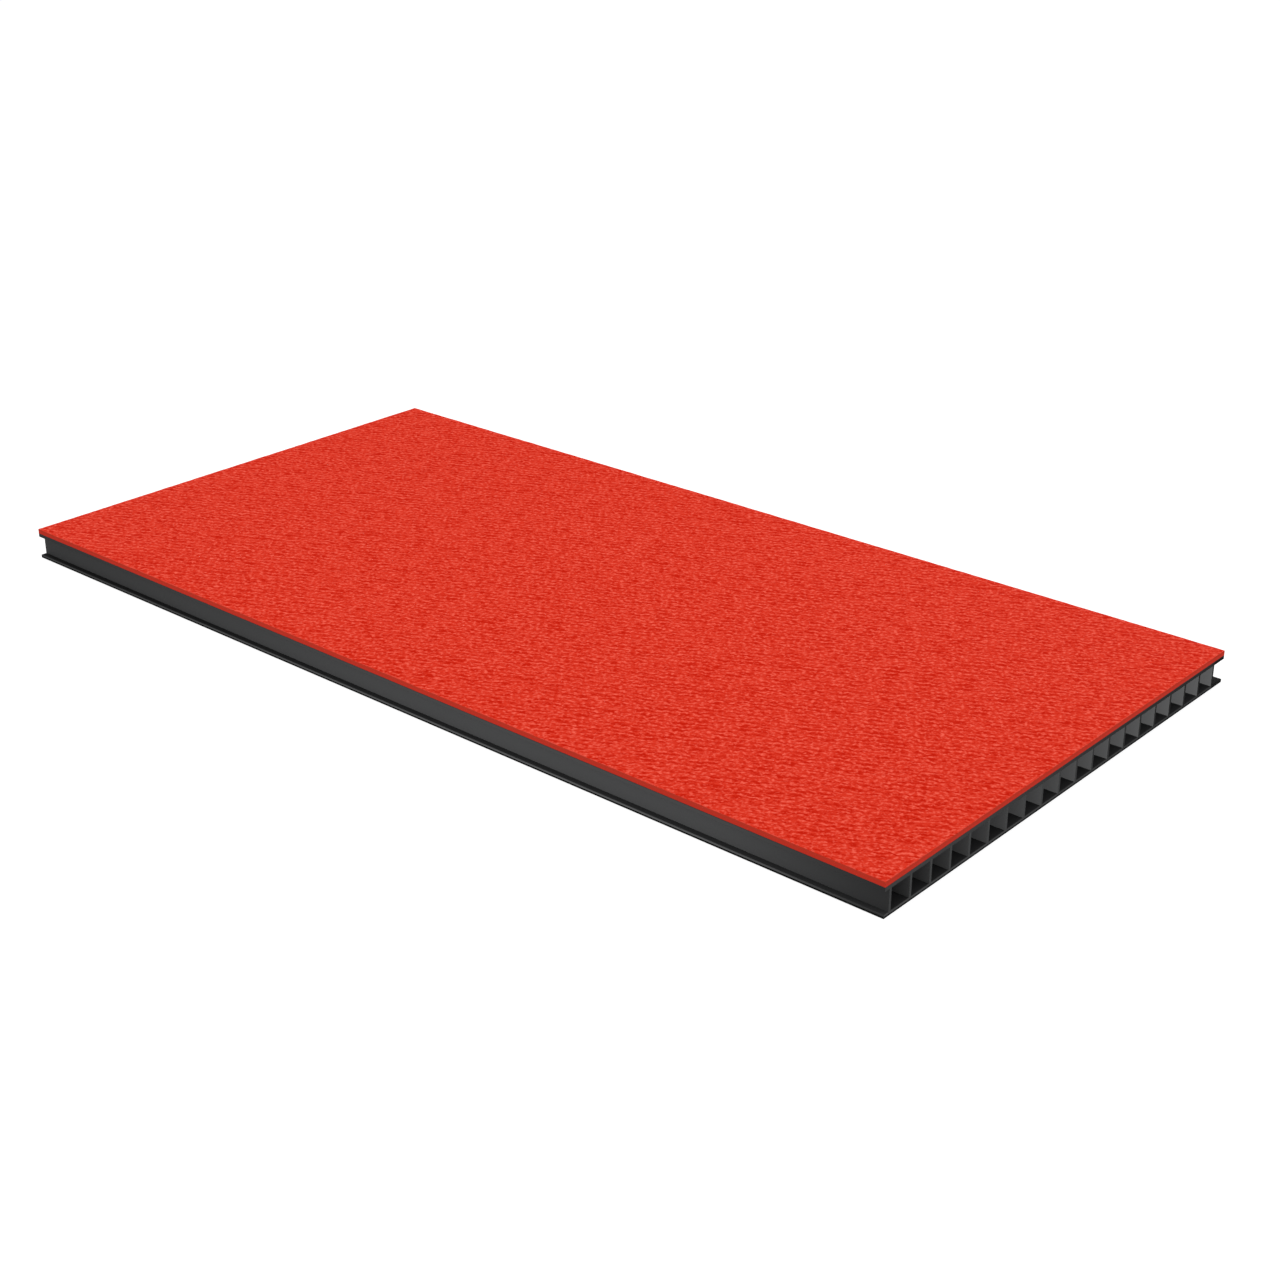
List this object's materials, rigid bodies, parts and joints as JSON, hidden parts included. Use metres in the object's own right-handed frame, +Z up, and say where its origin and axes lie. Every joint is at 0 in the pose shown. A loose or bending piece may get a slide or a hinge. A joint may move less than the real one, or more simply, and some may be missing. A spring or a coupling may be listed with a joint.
{
  "type": "stage riser deck",
  "caption": "Flat rectangular stage riser deck: a carpeted top board on a hollow ribbed panel whose cells are open at both ends, with a channel along each long edge.",
  "frame": {"origin": "middle of the underside, on the surface that the deck lies on", "axes": "+X along the deck's length and the ribs, +Y across it from the edge with the narrow channel to the edge with the wide one, +Z up out of the carpet"},
  "size_m": [2, 1, 0.06],
  "materials": {
    "carpet_red": "matte",
    "board_red": "matte",
    "panel_black": "matte",
    "screw_steel": "satin"
  },
  "bodies": {
    "root": {"carpet": "carpet_red", "deck_board": "board_red", "board_screws": "screw_steel", "top_skin": "panel_black", "bottom_skin": "panel_black", "rib_01": "panel_black", "rib_02": "panel_black", "rib_03": "panel_black", "rib_04": "panel_black", "rib_05": "panel_black", "rib_06": "panel_black", "rib_07": "panel_black", "rib_08": "panel_black", "rib_09": "panel_black", "rib_10": "panel_black", "rib_11": "panel_black", "rib_12": "panel_black", "rib_13": "panel_black", "rib_14": "panel_black", "rib_15": "panel_black", "rib_16": "panel_black", "rib_17": "panel_black", "rib_18": "panel_black", "rib_19": "panel_black", "rib_20": "panel_black"}
  },
  "joints": []
}
